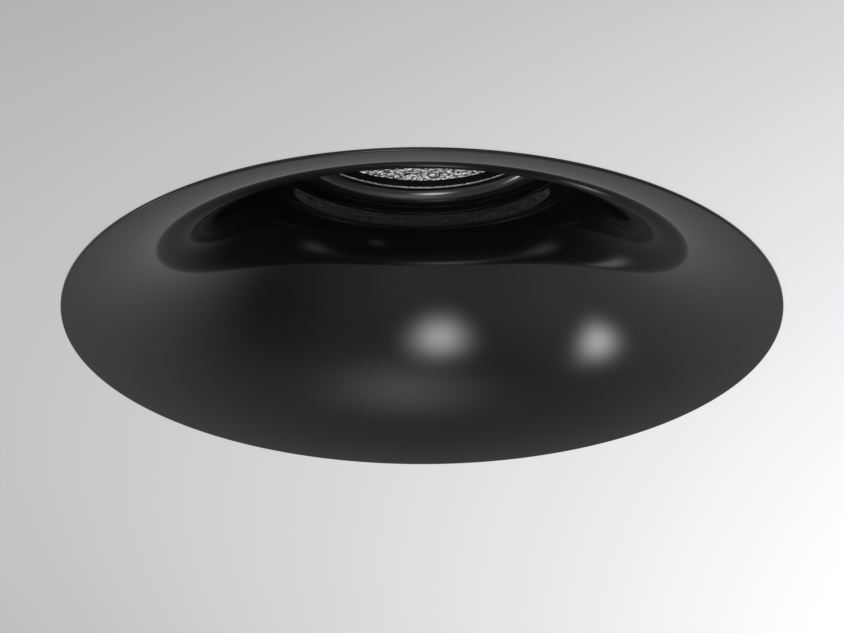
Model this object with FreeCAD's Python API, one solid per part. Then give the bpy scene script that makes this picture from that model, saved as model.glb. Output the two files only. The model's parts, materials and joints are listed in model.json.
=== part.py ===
"""Recessed soffit downlight: a black trumpet-shaped front ring with a swivelling and tilting lamp head behind it.

The origin is the centre of the lamp on the underside of the soffit, on the back face of the lip. +Z points up
into the soffit, +X to the right and +Y away from the viewer. All sizes are in millimetres.
"""

import FreeCAD, Part
import os
from math import asin, atan2, ceil, cos, degrees, hypot, pi, radians, sin, sqrt

# Front ring: one casting with a lip, a trumpet-shaped flare, a flange on top and a collar in the cut-out.
lip_radius = 75.0
lip_overlap = 3.0            # how far the lip reaches past the collar
lip_thickness = 0.8          # with the gasket
lip_edge_round = 0.3
lip_slope = 5.2              # degrees, the flare's slope at the lip
throat_slope = 83.0          # degrees, the flare's slope at its top
throat_round = 0.5
flare_wall = 1.8
collar_height = 8.0
collar_wall = 2.0
stop_width = 0.6             # flat ring on the lip that stops the gasket's squeeze
flange_thickness = 1.8
rib_thickness = 2.0
rib_count = 8
gasket_thickness = 0.2
gasket_inset = 0.2

# Swivel ring, its glide ring and keepers.
glide_thickness = 0.5
glide_width = 6.5
glide_inset = 0.5            # of the glide ring from the swivel ring's inside
swivel_gap = 0.75            # between the lamp head's ball zone and the swivel ring
swivel_width = 6.7
swivel_height = 8.0
swivel_tab_half_angle = 2.0  # degrees
stop_finger_half_angle = 2.5
tab_height = 3.2
tab_width = 2.8
tab_inset = 1.9              # of the tab from the swivel ring's inside
keeper_half_angle = 8.0
keeper_width = 3.6           # least width of a keeper between the swivel ring and the can
keeper_thickness = 1.2
keeper_clearance = 0.4
keeper_lift = 0.2

# Lamp head. The head body sets the size of the lens, the ball zone and the flare's throat.
tilt_limit = 20.0            # degrees
body_radius = 29.2
body_wall = 1.8
body_top_height = 18.8       # of the head body above the lens
bezel_wall = 3.38            # between the head body and the ball zone
bezel_face_height = 0.9      # of the bezel's face above the flange
bezel_round = 2.4            # rounding on the inner edge
bezel_edge_round = 0.4
pivot_above_face = 3.8
ball_gap = 0.95              # between the throat's top edge and the ball zone
seal_drop = 0.5              # straight wall between the rounding and the lens seal
seal_thickness = 0.8
lens_inset = 0.8             # of the lens's edge from the head body's outside
lens_ledge = 1.7             # width of the bezel's ledge under the lens
lens_boss_step = 1.8         # from the window's edge to the lens's boss
lens_boss_gap = 0.1
lens_thickness = 2.3
lens_clearance = 0.2
skirt_height = 4.5
reflector_rim = 0.8
reflector_wall = 0.8
reflector_clearance = 0.4
reflector_bulge = (2.0, 1.0)  # of the cup's wall, outwards and upwards
reflector_small_radius = 8.0
reflector_height = 14.8
holder_window_gap = 0.2
holder_gap = 0.2             # between the LED holder and the lead's grommet
holder_screw_inset = 3.0
board_size = 19.0
board_thickness = 1.5
emitter_radius = 7.0
emitter_thickness = 0.4
pad_thickness = 0.5
pocket_clearance = 0.1
sink_base = 4.0
sink_inset = 2.2             # of the fins from the base's edge
sink_fin_height = 22.0
sink_hub_radius = 8.0
fin_count = 24
fin_thickness = 1.2
sink_screw_inset = 4.6
sink_screw_angles = (7.5, 127.5, 247.5)
sink_boss_half_angle = 7.0
head_lead_radius = 2.5
head_lead_inset = 7.6
head_lead_room = 1.5         # cut into the fins round the lead

# Pivot of the lamp head.
shoulder_radius = 2.0
pivot_running_gap = 0.05
pivot_thread_radius = 1.25
pivot_thread_length = 3.0
pivot_head_radius = 2.9
pivot_head_height = 1.6
pivot_head_clearance = 0.3
pivot_head_sink = 0.4        # of the head below the swivel ring's outside
pivot_slot_half_width = 0.4
washer_radius = 3.6
washer_thickness = 0.5
washer_play = 0.05           # on each side of the washer

# Housing can.
can_wall = 1.5
head_to_can = 3.0            # room around the tilted lamp head
can_flange_width = 6.2
screw_head_gap = 0.3
vent_count = 24
vent_width = 2.4
vent_height = 12.0
vent_drop = 3.0              # of the vents below the can's top

# Screws: thread radius, head radius, head height, length in the metal.
can_screw = (1.5, 2.8, 2.0, 6.5)
keeper_screw = (1.0, 1.6, 1.2, 5.0)
bracket_screw = (1.5, 2.8, 2.0, 7.0)
box_screw = (1.5, 2.8, 2.0, 7.4)
sink_screw = (1.25, 2.1, 1.8, 8.0)
holder_screw = (1.0, 1.9, 1.2, 3.5)
can_screw_angles = (60.0, 180.0, 300.0)
keeper_angles = (30.0, 150.0, 270.0)
boss_wall = 1.6
drive_socket_depth = 0.9

# Clips that hold the lamp in the soffit.
pin_inset = 12.0             # of the clip's pin from the collar's outside
pin_radius = 1.5
pin_running_gap = 0.06
pin_head_radius = 2.6
pin_head_height = 1.0
bracket_base_height = 14.0
bracket_sheet = 1.2
bracket_depth = 10.0
bracket_screw_reach = 12.5
bracket_tab = 3.5
ear_reach = 4.0
wire_diameter = 1.2
coil_radius = 3.5            # to the middle of the wire
coil_turns = 5
coil_half_length = 4.4
spring_seat_gap = 0.3
fixed_leg_length = 9.0
moving_leg_length = 17.0
arm_sheet = 1.0
arm_hub_radius = 3.4
arm_length = 36.0
arm_web_start = 9.5          # along the arm, where the web between its sides begins
arm_tip_height = 1.5         # of the sides at the foot, above the web
arm_side_gap = 0.4
foot_radius = 3.0
foot_half_width = 7.0
minimum_soffit = 3.0

# Terminal box on the back of the can.
box_gap = 1.5
box_half_width = 16.0
box_depth = 18.0
box_height = 41.2
box_wall = 1.8
shelf_thickness = 4.0
shelf_inset = 3.0            # of the shelf's side from the box's
gusset_offset = 4.5
box_screw_offset = 9.0
box_boss_height = 2.4
box_boss_radius = 3.0
lid_thickness = 1.8
lid_rim_depth = 1.6
lid_rim_wall = 1.2
lid_rim_gap = 0.3
lid_top_gap = 0.4
seal_strip = 0.6
seal_strip_inset = 0.3
hinge_rise = 1.6
hinge_radius = 1.5
hinge_pin_radius = 0.75
hinge_running_gap = 0.06
lid_corner_round = 1.0
lid_groove_gap = 0.2         # between the seal's groove and the box's cavity
lid_knuckle_inset = (6.8, 4.2)  # of the knuckle's two faces from the box's side
box_ear_inset = (4.0, 2.0)
driver_gap = 1.2             # to the box's side walls
driver_depth = 12.0
driver_height = 11.6
driver_round = 1.2

# Terminal block with two levers.
block_half_width = 9.0
block_depth = 8.0
block_height = 10.6
block_top_gap = 4.7          # below the box's roof
pole_offset = 4.5
lever_width = 4.8
lever_side_gap = 0.2
lever_length = 6.6
lever_hub_radius = 2.0
lever_thickness = 1.5
lever_axle_radius = 0.9
lever_axle_drop = 2.5        # below the block's top
lever_axle_inset = 2.5       # behind the block's front
lever_running_gap = 0.06
lever_room = 0.4             # round the lever's hub
lever_tip_room = 0.6
axle_stub = 0.7
wire_entry_radius = 1.3
cage_width = 3.6
cage_depth = 2.0
cage_height = 5.0
cage_wall = 0.5
cage_gap = 0.1
cage_inset = 0.8             # behind it
cage_rise = 1.5              # above the block's foot

# Cable gland, M12, for a 6 mm cable, and the lead's grommet.
gland_thread_radius = 6.0
gland_hole_gap = 0.1
gland_bore_radius = 4.0
gland_hex = 15.0             # across flats
gland_hex_height = 5.0
gland_neck_radius = 5.6
gland_neck_height = 4.5
gland_inset = 9.0            # of the gland's axis from the box's back
locknut_height = 4.0
cable_radius = 3.0
seal_height = 6.0
seal_rise = 1.0              # above the gland's hexagon
nut_hex = 14.0
nut_lift = 0.3               # above the gland's hexagon
nut_wall = 1.0
nut_shoulder = 1.6           # round part above the nut's flats
cable_gap = 0.6              # round the cable in the nut
nut_top_wall = 1.4
grommet_hole_radius = 3.0
grommet_flange = 1.0
grommet_lip = 0.9
grommet_bore_radius = 1.5
grommet_height = 20.0        # above the box's foot

# Sizes that follow from the ones above.
full_turn = 360.0
quarter_round = 1 - sqrt(0.5)  # from a rounding's corner to the middle of its arc, as a share of its radius
lens_radius = body_radius - lens_inset
window_radius = lens_radius - lens_ledge
lens_boss_radius = window_radius - lens_boss_step
ball_radius = body_radius + bezel_wall
throat_radius = sqrt((ball_radius + ball_gap) ** 2 - (bezel_face_height + pivot_above_face) ** 2) - throat_round
flare_radius = (lip_radius - throat_radius) / (sin(radians(throat_slope)) - sin(radians(lip_slope)))
flare_centre = (lip_radius + flare_radius * sin(radians(lip_slope)),
                flare_radius * cos(radians(lip_slope)) - lip_thickness)
throat_z = flare_centre[1] - flare_radius * cos(radians(throat_slope))
flange_z = throat_z + throat_round
collar_radius = lip_radius - lip_overlap
collar_inner = collar_radius - collar_wall

face_z = flange_z + bezel_face_height
pivot_z = face_z + pivot_above_face
lens_seal_z = face_z + bezel_round + seal_drop
lens_z = lens_seal_z + seal_thickness
lens_top_z = lens_z + lens_thickness
skirt_top_z = lens_top_z + skirt_height
body_top_z = lens_top_z + body_top_height
body_inner = body_radius - body_wall
holder_z = lens_top_z + reflector_height
board_z = body_top_z - pad_thickness - board_thickness
sink_radius = body_radius - sink_inset
sink_screw_radius = body_radius - sink_screw_inset
head_lead_offset = body_radius - head_lead_inset
holder_radius = head_lead_offset - head_lead_radius - grommet_lip - holder_gap
holder_screw_offset = holder_radius - holder_screw_inset
holder_screw_z = holder_z + holder_screw[2]
sink_top_z = body_top_z + sink_base
fin_top_z = sink_top_z + sink_fin_height

swivel_inner = ball_radius + swivel_gap
swivel_outer = swivel_inner + swivel_width
swivel_z = flange_z + glide_thickness
swivel_top_z = swivel_z + swivel_height
tab_inner = swivel_inner + tab_inset
tab_outer = tab_inner + tab_width

head_reach = sink_radius * cos(radians(tilt_limit)) + (fin_top_z - pivot_z) * sin(radians(tilt_limit))
head_peak = pivot_z + (fin_top_z - pivot_z) * cos(radians(tilt_limit)) + sink_radius * sin(radians(tilt_limit))
can_inner = max(head_reach + head_to_can, swivel_outer + keeper_width + 2 * keeper_clearance)
can_outer = can_inner + can_wall
can_flange_radius = can_outer + can_flange_width
can_top_z = head_peak + head_to_can + can_wall
keeper_outer = can_inner - keeper_clearance
keeper_inner = swivel_outer + keeper_clearance
keeper_z = swivel_top_z + keeper_lift
keeper_screw_radius = keeper_outer - keeper_screw[1] - screw_head_gap
can_screw_radius = can_outer + can_screw[1] + screw_head_gap

pin_x = collar_radius - pin_inset
bracket_top_z = bracket_base_height + bracket_sheet
pin_z = bracket_top_z + coil_radius + wire_diameter / 2 + spring_seat_gap
arm_inner = coil_half_length + wire_diameter / 2 + arm_side_gap
arm_outer = arm_inner + arm_sheet
ear_inner = arm_outer + arm_side_gap
ear_outer = ear_inner + bracket_sheet
web_top = -(coil_radius + wire_diameter / 2)
web_bottom = web_top - arm_sheet
web_middle = web_top - arm_sheet / 2
arm_drop = pin_z - minimum_soffit - foot_radius
arm_angle = degrees(asin(arm_drop / hypot(arm_length, web_middle)) - atan2(-web_middle, arm_length))

box_back = can_outer + box_gap
box_front = box_back + box_depth
box_foot_z = flange_z + can_wall
box_top_z = box_foot_z + box_height
box_floor_z = box_foot_z + box_wall
box_roof_z = box_top_z - box_wall
cavity_half_width = box_half_width - box_wall
shelf_half_width = box_half_width - shelf_inset
driver_half_width = cavity_half_width - driver_gap
lid_knuckle = tuple(box_half_width - inset for inset in lid_knuckle_inset)
box_ear = tuple(box_half_width - inset for inset in box_ear_inset)
cavity_back = box_back + box_wall
hinge_y = box_front + lid_thickness / 2
hinge_z = box_top_z + hinge_rise
gland_y = box_back + gland_inset
gland_seal_z = box_top_z + gland_hex_height + seal_rise
grommet_z = box_foot_z + grommet_height
block_front = cavity_back + block_depth
block_top_z = box_roof_z - block_top_gap
block_z = block_top_z - block_height
lever_axis_y = block_front - lever_axle_inset
lever_axis_z = block_top_z - lever_axle_drop
cage_back = cavity_back + cage_inset
driver_z = box_floor_z + box_boss_height

X = FreeCAD.Vector(1, 0, 0)
Y = FreeCAD.Vector(0, 1, 0)
Z = FreeCAD.Vector(0, 0, 1)
ORIGIN = FreeCAD.Vector(0, 0, 0)


# Small shapes that many pieces are made of.
def rod(radius, start, axis, length):
    return Part.makeCylinder(radius, length, FreeCAD.Vector(*start), axis)


def disc(radius, low, high, centre=(0, 0)):
    return rod(radius, (centre[0], centre[1], low), Z, high - low)


def ring(inner, outer, low, high):
    return disc(outer, low, high).cut(disc(inner, low - 1, high + 1))


def block(low, high):
    size = [b - a for a, b in zip(low, high)]
    return Part.makeBox(size[0], size[1], size[2], FreeCAD.Vector(*low))


def sector(inner, outer, low, high, middle, half_angle):
    wedge = Part.makeCylinder(outer, high - low, FreeCAD.Vector(0, 0, low), Z, 2 * half_angle)
    wedge = turned(wedge, middle - half_angle)
    return wedge.cut(disc(inner, low - 1, high + 1))


def hexagon(across_flats, low, high, centre):
    corner = across_flats / sqrt(3)
    points = [FreeCAD.Vector(centre[0] + corner * cos(k * pi / 3),
                             centre[1] + corner * sin(k * pi / 3), low) for k in range(7)]
    return Part.Face(Part.makePolygon(points)).extrude(Z * (high - low))


def turned(shape, angle, centre=ORIGIN, axis=Z):
    copy = shape.copy()
    copy.rotate(centre, axis, angle)
    return copy


def moved(shape, by):
    copy = shape.copy()
    copy.translate(by)
    return copy


def around(shape, angles):
    return [turned(shape, angle) for angle in angles]


def joined(shapes):
    first, *others = shapes
    return first.multiFuse(others).removeSplitter() if others else first


def outline(start, *steps):
    """A closed face in the XZ plane. A step is a point (x, z) or, for an arc, (point on the way, end point)."""
    first = here = FreeCAD.Vector(start[0], 0, start[1])
    edges = []
    for step in steps:
        way = step if isinstance(step[0], tuple) else (step,)
        *middle, end = (FreeCAD.Vector(x, 0, z) for x, z in way)
        edges.append((Part.Arc(here, *middle, end) if middle else Part.LineSegment(here, end)).toShape())
        here = end
    if not here.isEqual(first, 1e-6):
        edges.append(Part.LineSegment(here, first).toShape())
    return Part.Face(Part.Wire(edges))


def spun(face):
    return face.revolve(ORIGIN, Z, full_turn)


def screw(size, seat_z, centre, downward=True):
    """A pan-head screw standing on seat_z, with a square drive socket."""
    radius, head_radius, head_height, length = size
    socket = head_radius * 0.4
    head = disc(head_radius, 0, head_height)
    head = head.makeFillet(head_height * 0.4, [e for e in head.Edges if e.CenterOfMass.z > head_height * 0.9])
    head = head.cut(block((-socket, -socket, head_height - drive_socket_depth), (socket, socket, head_height + 1)))
    shape = head.fuse(disc(radius, -length, 0)).removeSplitter()
    if not downward:
        shape.rotate(ORIGIN, X, 180)
    shape.translate(FreeCAD.Vector(centre[0], centre[1], seat_z))
    return shape


def on_circle(radius, angle):
    return radius * cos(radians(angle)), radius * sin(radians(angle))


def save(name, *solids):
    shape = solids[0] if len(solids) == 1 else Part.makeCompound(list(solids))
    if not shape.isValid():
        raise ValueError(f"{name} is not a valid solid")
    shape.exportStep(f"parts/{name}.step")


# Front ring.
def flare_front_z(radius):
    return flare_centre[1] - sqrt(flare_radius ** 2 - (flare_centre[0] - radius) ** 2)


def flare_back_z(radius):
    return flare_centre[1] - sqrt((flare_radius - flare_wall) ** 2 - (flare_centre[0] - radius) ** 2)


def flare_back_radius(height):
    return flare_centre[0] - sqrt((flare_radius - flare_wall) ** 2 - (flare_centre[1] - height) ** 2)


def flare_front_point(slope):
    return (flare_centre[0] - flare_radius * sin(radians(slope)), flare_centre[1] - flare_radius * cos(radians(slope)))


def behind_flare(upper_radius, upper_z):
    """The space between the back of the flare and a straight line from the flange down to the collar."""
    low, high = (collar_inner, flare_back_z(collar_inner)), (flare_back_radius(upper_z), upper_z)
    middle_z = (low[1] + high[1]) / 2
    return spun(outline(low, ((flare_back_radius(middle_z), middle_z), high), (upper_radius, upper_z),
                        (collar_inner + collar_wall / 2, collar_height), (collar_inner + collar_wall / 2, low[1])))


def boss(size, centre, low, high):
    return disc(size[0] + boss_wall, low, high, centre)


def flare():
    lip_z = flare_front_z(lip_radius)
    flange_low = flange_z - flange_thickness
    back_middle_z = flange_low / 2
    edge = lip_edge_round
    edge_share, throat_share = quarter_round * edge, quarter_round * throat_round
    body = spun(outline(
        (lip_radius, -gasket_thickness), (lip_radius, lip_z + edge),
        ((lip_radius - edge_share, lip_z + edge_share), (lip_radius - edge, flare_front_z(lip_radius - edge))),
        (flare_front_point((lip_slope + throat_slope) / 2), (throat_radius, throat_z)),
        ((throat_radius + throat_share, flange_z - throat_share), (throat_radius + throat_round, flange_z)),
        (can_flange_radius, flange_z), (can_flange_radius, flange_low), (flare_back_radius(flange_low), flange_low),
        ((flare_back_radius(back_middle_z), back_middle_z), (collar_inner, flare_back_z(collar_inner))),
        (collar_inner, collar_height), (collar_radius, collar_height), (collar_radius, 0),
        (collar_radius + stop_width, 0), (collar_radius + stop_width, -gasket_thickness)))

    rib_space = behind_flare(can_flange_radius, flange_low)
    plate = block((0, -rib_thickness / 2, 0), (collar_radius, rib_thickness / 2, flange_low))
    ribs = [rib_space.common(turned(plate, full_turn * (k + 0.5) / rib_count)) for k in range(rib_count)]

    shelf_low = box_foot_z - shelf_thickness
    shelf = block((-shelf_half_width, can_flange_radius, shelf_low), (shelf_half_width, box_front, box_foot_z))
    shelf = shelf.fuse(block((-shelf_half_width, can_outer, shelf_low), (shelf_half_width, box_front, flange_z)))
    gusset_space = behind_flare(box_front, shelf_low)
    gusset = block((-rib_thickness / 2, 0, 0), (rib_thickness / 2, collar_radius, shelf_low))
    gussets = [gusset_space.common(moved(gusset, X * x)) for x in (-gusset_offset, gusset_offset)]

    can_places = [on_circle(can_screw_radius, angle) for angle in can_screw_angles]
    keeper_places = [on_circle(keeper_screw_radius, angle) for angle in keeper_angles]
    bracket_places = bracket_screw_places()
    bosses = [boss(can_screw, place, flange_low - can_screw[3] + can_wall, flange_low) for place in can_places]
    bosses += [boss(keeper_screw, place, flange_low - keeper_screw[3] / 2, flange_low) for place in keeper_places]
    bosses += [boss(bracket_screw, place, flare_back_z(hypot(*place) - bracket_screw[0] - boss_wall) - flare_wall / 2,
                    bracket_base_height) for place in bracket_places]
    body = joined([body, *ribs, shelf, *gussets, *bosses])

    holes = [disc(can_screw[0], flange_z + can_wall - can_screw[3], flange_z + 1, place) for place in can_places]
    holes += [disc(keeper_screw[0], keeper_top_z() - keeper_screw_length(), flange_z + 1, place)
              for place in keeper_places]
    holes += [disc(bracket_screw[0], bracket_top_z - bracket_screw[3], bracket_base_height + 1, place)
              for place in bracket_places]
    holes += [disc(box_screw[0], shelf_low - 1, box_foot_z + 1, (x, box_screw_y()))
              for x in (-box_screw_offset, box_screw_offset)]
    for hole in holes:
        body = body.cut(hole)
    return body


def bracket_screw_places():
    return [(side * (pin_x - bracket_depth / 5), reach)
            for side in (1, -1) for reach in (bracket_screw_reach, -bracket_screw_reach)]


def box_screw_y():
    return (can_flange_radius + box_front) / 2


def soffit_gasket():
    inner = collar_radius + stop_width + gasket_inset
    return ring(inner, lip_radius - gasket_inset, -gasket_thickness, 0)


# Swivel.
def glide_ring():
    inner = swivel_inner + glide_inset
    return ring(inner, inner + glide_width, flange_z, swivel_z)


def keeper_top_z():
    return keeper_z + keeper_thickness


def keeper_screw_length():
    return keeper_screw[3] + keeper_top_z() - flange_z


def keepers():
    lip_inner = tab_outer + keeper_clearance
    shapes = []
    for angle in keeper_angles:
        shape = sector(keeper_inner, keeper_outer, flange_z, keeper_top_z(), angle, keeper_half_angle)
        shape = shape.fuse(sector(lip_inner, keeper_outer, keeper_z, keeper_top_z(), angle, keeper_half_angle))
        if angle == keeper_angles[-1]:
            shape = shape.fuse(sector(tab_inner, keeper_inner, keeper_z, swivel_top_z + tab_height, angle,
                                      stop_finger_half_angle))
        hole = disc(keeper_screw[0], flange_z - 1, keeper_top_z() + 1, on_circle(keeper_screw_radius, angle))
        shapes.append(shape.removeSplitter().cut(hole))
    return shapes


def keeper_screws():
    size = (*keeper_screw[:3], keeper_screw_length())
    return [screw(size, keeper_top_z(), on_circle(keeper_screw_radius, angle)) for angle in keeper_angles]


def swivel_ring():
    body = ring(swivel_inner, swivel_outer, swivel_z, swivel_top_z)
    tab = sector(tab_inner, tab_outer, swivel_z + 1, swivel_top_z + tab_height, 90, swivel_tab_half_angle)
    body = body.fuse(tab).removeSplitter()
    bore = rod(shoulder_radius + pivot_running_gap, (0, 0, pivot_z), X, swivel_outer + 1)
    counterbore = rod(pivot_head_radius + pivot_head_clearance, (pivot_seat_x(), 0, pivot_z), X, swivel_outer)
    spotface = rod(washer_radius + pivot_head_clearance, (0, 0, pivot_z), X,
                   ball_radius + washer_thickness + 2 * washer_play)
    for tool in (bore, counterbore, spotface):
        for angle in (0, 180):
            body = body.cut(turned(tool, angle))
    return body


def pivot_seat_x():
    return swivel_outer - pivot_head_height - pivot_head_sink


def pivot_washers():
    washer = rod(washer_radius, (ball_radius + washer_play, 0, pivot_z), X, washer_thickness)
    washer = washer.cut(rod(shoulder_radius + pivot_running_gap, (0, 0, pivot_z), X, swivel_outer))
    return around(washer, (0, 180))


def pivot_screws():
    seat = pivot_seat_x()
    top = seat + pivot_head_height
    shape = joined([
        rod(pivot_thread_radius, (ball_radius - pivot_thread_length, 0, pivot_z), X, pivot_thread_length),
        rod(shoulder_radius, (ball_radius, 0, pivot_z), X, seat - ball_radius),
        rod(pivot_head_radius, (seat, 0, pivot_z), X, pivot_head_height)])
    slot = block((top - drive_socket_depth, -pivot_head_radius, pivot_z - pivot_slot_half_width),
                 (top + 1, pivot_head_radius, pivot_z + pivot_slot_half_width))
    return around(shape.cut(slot), (0, 180))


# Lamp head.
def ball_width(height):
    """Radius of the ball zone at a height."""
    return sqrt(ball_radius ** 2 - (height - pivot_z) ** 2)


def bezel():
    edge_z = face_z + bezel_edge_round
    round_centre = (window_radius + bezel_round, face_z + bezel_round)
    diagonal = bezel_round / sqrt(2)
    counterbore = lens_radius + lens_clearance
    thread_inner = body_radius + lens_clearance / 2
    skirt_outer = ball_width(skirt_top_z) if ball_radius > skirt_top_z - pivot_z else ball_radius
    body = spun(outline(
        (round_centre[0], face_z), (ball_width(edge_z) - bezel_edge_round, face_z), (ball_width(edge_z), edge_z),
        ((ball_radius, pivot_z), (skirt_outer, skirt_top_z)), (thread_inner, skirt_top_z), (thread_inner, lens_top_z),
        (counterbore, lens_top_z), (counterbore, lens_seal_z), (window_radius, lens_seal_z),
        (window_radius, round_centre[1]),
        ((round_centre[0] - diagonal, round_centre[1] - diagonal), (round_centre[0], face_z))))
    hole = rod(pivot_thread_radius, (ball_radius - pivot_thread_length, 0, pivot_z), X, pivot_thread_length + 2)
    for angle in (0, 180):
        body = body.cut(turned(hole, angle))
    return body


def lens_seal():
    return ring(lens_boss_radius + lens_boss_gap, lens_radius, lens_seal_z, lens_z)


def front_lens():
    return disc(lens_radius, lens_z, lens_top_z).fuse(disc(lens_boss_radius, lens_seal_z, lens_z)).removeSplitter()


def reflector_cup():
    low, high = lens_top_z, holder_z
    rim, narrow = body_inner - reflector_clearance, reflector_small_radius
    outer = rim - reflector_wall / 2
    inner = outer - reflector_wall
    middle = ((rim + narrow) / 2 + reflector_bulge[0], (low + high) / 2 + reflector_bulge[1])
    outer_middle = (middle[0] + reflector_wall, middle[1] + reflector_wall)
    return spun(outline(
        (inner, low), (rim, low), (rim, low + reflector_rim), (outer, low + reflector_rim),
        (outer_middle, (narrow + reflector_wall, high)), (narrow, high), (middle, (inner, low))))


def square(size, low, high):
    return block((-size / 2, -size / 2, low), (size / 2, size / 2, high))


def led_holder():
    body = ring(reflector_small_radius + holder_window_gap, holder_radius, holder_z, body_top_z)
    body = body.cut(square(board_size + 2 * pocket_clearance, board_z, body_top_z + 1))
    for x in (-holder_screw_offset, holder_screw_offset):
        body = body.cut(disc(holder_screw[0], holder_z - 1, body_top_z + 1, (x, 0)))
        body = body.cut(disc(holder_screw[1] + pocket_clearance, holder_z - 1, holder_screw_z, (x, 0)))
    return body


def holder_screws():
    size = (*holder_screw[:3], holder_screw[3] + body_top_z - holder_screw_z)
    return [screw(size, holder_screw_z, (x, 0), downward=False) for x in (-holder_screw_offset, holder_screw_offset)]


def led_board():
    return square(board_size, board_z, board_z + board_thickness)


def led_emitter():
    return disc(emitter_radius, board_z - emitter_thickness, board_z)


def thermal_pad():
    return square(board_size, body_top_z - pad_thickness, body_top_z)


def head_body():
    boss_inner = sink_screw_radius - sink_screw[0] - boss_wall
    body = ring(body_inner, body_radius, lens_top_z, body_top_z)
    low = body_top_z - sink_screw[3] - 1
    bosses = [sector(boss_inner, body_inner + body_wall / 2, low, body_top_z, angle, sink_boss_half_angle)
              for angle in sink_screw_angles]
    body = joined([body, *bosses])
    for angle in sink_screw_angles:
        body = body.cut(disc(sink_screw[0], body_top_z - sink_screw[3], body_top_z + 1,
                             on_circle(sink_screw_radius, angle)))
    return body


def heat_sink():
    base = disc(body_radius, body_top_z, sink_top_z)
    hub = disc(sink_hub_radius, sink_top_z - 1, fin_top_z)
    fin = block((sink_hub_radius - 1, -fin_thickness / 2, sink_top_z - 1),
                (sink_radius, fin_thickness / 2, fin_top_z))
    body = joined([base, hub, *around(fin, [k * full_turn / fin_count for k in range(fin_count)])])
    for angle in sink_screw_angles:
        body = body.cut(disc(sink_screw[0], body_top_z - 1, sink_top_z + 1, on_circle(sink_screw_radius, angle)))
    for x in (-holder_screw_offset, holder_screw_offset):
        body = body.cut(disc(holder_screw[0], body_top_z - 1, body_top_z + holder_screw[3], (x, 0)))
    body = body.cut(disc(head_lead_radius, body_top_z - 1, sink_top_z + 1, (0, head_lead_offset)))
    return body.cut(disc(head_lead_radius + head_lead_room, sink_top_z, fin_top_z + 1, (0, head_lead_offset)))


def sink_screws():
    size = (*sink_screw[:3], sink_screw[3] + sink_base)
    return [screw(size, sink_top_z, on_circle(sink_screw_radius, angle)) for angle in sink_screw_angles]


def head_grommet():
    centre = (0, head_lead_offset)
    low, high = body_top_z - grommet_flange, sink_top_z + grommet_flange
    lip = head_lead_radius + grommet_lip
    body = joined([disc(head_lead_radius, low, sink_top_z, centre), disc(lip, sink_top_z, high, centre),
                   disc(lip, low, body_top_z, centre)])
    return body.cut(disc(grommet_bore_radius, low - 1, high + 1, centre))


# Housing can.
def housing_can():
    body = disc(can_outer, flange_z, can_top_z).fuse(disc(can_flange_radius, flange_z, flange_z + can_wall))
    body = body.removeSplitter().cut(disc(can_inner, flange_z - 1, can_top_z - can_wall))
    slot = block((can_inner - 2, -vent_width / 2, can_top_z - vent_drop - vent_height),
                 (can_outer + 2, vent_width / 2, can_top_z - vent_drop))
    for angle in (k * full_turn / vent_count for k in range(vent_count)):
        body = body.cut(turned(slot, angle))
    for angle in can_screw_angles:
        body = body.cut(disc(can_screw[0], flange_z - 1, flange_z + can_wall + 1, on_circle(can_screw_radius, angle)))
    return body.cut(rod(grommet_hole_radius, (0, 0, grommet_z), Y, can_outer + 1))


def can_screws():
    return [screw(can_screw, flange_z + can_wall, on_circle(can_screw_radius, angle)) for angle in can_screw_angles]


# Clips. Each piece is made for the right side and turned half round for the left one.
def clip_bracket():
    back = pin_x - bracket_depth
    base = block((back, -ear_outer, bracket_base_height), (pin_x, ear_outer, bracket_top_z))
    tab_edge = bracket_screw_reach + bracket_tab
    tabs = [block((back, min(a, b), bracket_base_height), (pin_x + ear_reach, max(a, b), bracket_top_z))
            for a, b in ((ear_inner, tab_edge), (-ear_inner, -tab_edge))]
    ears = []
    for side in (ear_inner, -ear_outer):
        ear = block((pin_x - ear_reach, side, bracket_base_height), (pin_x + ear_reach, side + bracket_sheet, pin_z))
        ears.append(ear.fuse(rod(ear_reach, (pin_x, side, pin_z), Y, bracket_sheet)))
    body = joined([base, *tabs, *ears])
    body = body.cut(rod(pin_radius, (pin_x, -collar_radius, pin_z), Y, 2 * collar_radius))
    for place in bracket_screw_places()[:2]:
        body = body.cut(disc(bracket_screw[0], 0, bracket_top_z + 1, place))
    return body


def clip_pin():
    shank = rod(pin_radius, (pin_x, -ear_outer - pin_head_height, pin_z), Y, 2 * (ear_outer + pin_head_height))
    heads = [rod(pin_head_radius, (pin_x, side, pin_z), Y, pin_head_height)
             for side in (ear_outer, -ear_outer - pin_head_height)]
    return joined([shank, *heads])


def arc_through(start, tangent, end):
    """The arc that leaves start along tangent and comes to end."""
    chord = end - start
    side = tangent - chord * (tangent.dot(chord) / chord.dot(chord))
    if side.Length < 1e-9:
        return Part.LineSegment(start, end).toShape()
    half_angle = tangent.getAngle(chord)
    rise = chord.Length / 2 * (1 - cos(half_angle)) / sin(half_angle)
    return Part.Arc(start, start + chord / 2 + side.normalize() * rise, end).toShape()


def biarc(start, start_tangent, end, end_tangent):
    """Two arcs that join two points and meet each other without a corner."""
    way = end - start
    both = start_tangent + end_tangent
    share = 2 * (1 - start_tangent.dot(end_tangent))
    along = way.dot(both)
    reach = (sqrt(along ** 2 + share * way.dot(way)) - along) / share
    near, far = start + start_tangent * reach, end - end_tangent * reach
    middle = (near + far) / 2
    return [arc_through(start, start_tangent, middle), arc_through(middle, (far - near).normalize(), end)]


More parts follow.
